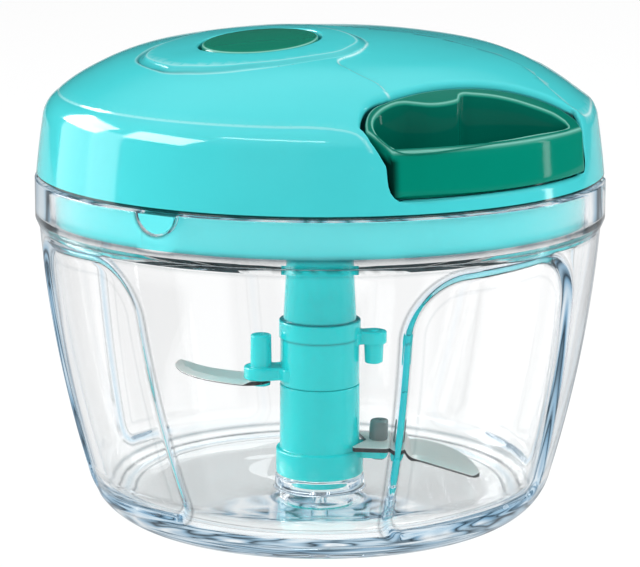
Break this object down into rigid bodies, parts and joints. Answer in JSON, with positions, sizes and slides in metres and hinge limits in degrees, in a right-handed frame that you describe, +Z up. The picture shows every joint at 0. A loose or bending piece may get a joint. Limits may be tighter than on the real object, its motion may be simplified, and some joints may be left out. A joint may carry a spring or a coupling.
{
  "type": "pull-string food chopper",
  "caption": "Clear round bowl with a domed lid; pulling the flush handle draws a cord that spins a blade column inside the bowl.",
  "frame": {"origin": "centre of the bowl's flat base, on the surface it stands on", "axes": "+Z up along the blade column; -Y faces the viewer, with the handle to the front right and +X to the viewer's right"},
  "size_m": [0.13, 0.13, 0.1128],
  "materials": {
    "clear_bowl": "clear",
    "lid": "gloss",
    "column": "gloss",
    "handle": "satin",
    "badge": "satin",
    "grey_pin": "satin",
    "inner_plastic": "satin",
    "blade_steel": "polished",
    "steel": "satin",
    "cord": "braided"
  },
  "bodies": {
    "bowl_body": {"bowl": "clear_bowl", "bowl_pivot_pin": "steel"},
    "blade_carrier": {"lower_column": "column", "upper_column": "column", "upper_blade": "blade_steel", "lower_blade": "blade_steel", "upper_blade_pin": "column", "lower_blade_pin": "grey_pin"},
    "lid": {"lid_top_cover": "lid", "lid_base": "lid", "badge_plate": "badge", "lid_screws": "steel", "spring_case": "inner_plastic", "spring_case_cover": "inner_plastic", "spring_case_screws": "steel", "drum_axle": "steel", "return_spring": "steel", "cord_eyelet": "steel", "cord_lead": "cord"},
    "hub": {"drive_hub": "inner_plastic"},
    "drum": {"cord_drum": "inner_plastic", "pawl_pins": "steel", "cord_winding": "cord"},
    "pawl_one": {"pawl_1": "inner_plastic"},
    "pawl_two": {"pawl_2": "inner_plastic"},
    "pawl_three": {"pawl_3": "inner_plastic"},
    "handle": {"pull_handle": "handle", "cord_end": "cord"}
  },
  "joints": [
    {"name": "lid_lift", "type": "slide", "parent": "bowl_body", "child": "lid", "axis": [0, 0, 1], "range_m": [0, 0.06]},
    {"name": "handle_pull", "type": "slide", "parent": "lid", "child": "handle", "axis": [0.6293, -0.7771, 0], "range_m": [0, 0.38], "stiffness_N_per_m": 12, "springref_m": -0.2, "deforming": ["cord_winding"]},
    {"name": "blade_spin", "type": "hinge", "parent": "bowl_body", "child": "blade_carrier", "pos_m": [0, 0, 0.012], "axis": [0, 0, 1], "continuous": true},
    {"name": "hub_spin", "type": "hinge", "parent": "lid", "child": "hub", "pos_m": [0, 0, 0.074], "axis": [0, 0, 1], "continuous": true},
    {"name": "drum_spin", "type": "hinge", "parent": "lid", "child": "drum", "pos_m": [0, 0, 0.09], "axis": [0, 0, 1], "continuous": true},
    {"name": "pawl_one_swing", "type": "hinge", "parent": "drum", "child": "pawl_one", "pos_m": [0.0105, 0, 0.0805], "axis": [0, 0, 1], "range_deg": [0, 12]},
    {"name": "pawl_two_swing", "type": "hinge", "parent": "drum", "child": "pawl_two", "pos_m": [-0.00525, 0.00909, 0.0805], "axis": [0, 0, 1], "range_deg": [0, 12]},
    {"name": "pawl_three_swing", "type": "hinge", "parent": "drum", "child": "pawl_three", "pos_m": [-0.00525, -0.00909, 0.0805], "axis": [0, 0, 1], "range_deg": [0, 12]}
  ],
  "couplings": [
    {"joint": "drum_spin", "follows": "handle_pull", "rad_per_m": 48.077},
    {"joint": "hub_spin", "follows": "handle_pull", "rad_per_m": 48.077},
    {"joint": "blade_spin", "follows": "handle_pull", "rad_per_m": 48.077}
  ]
}
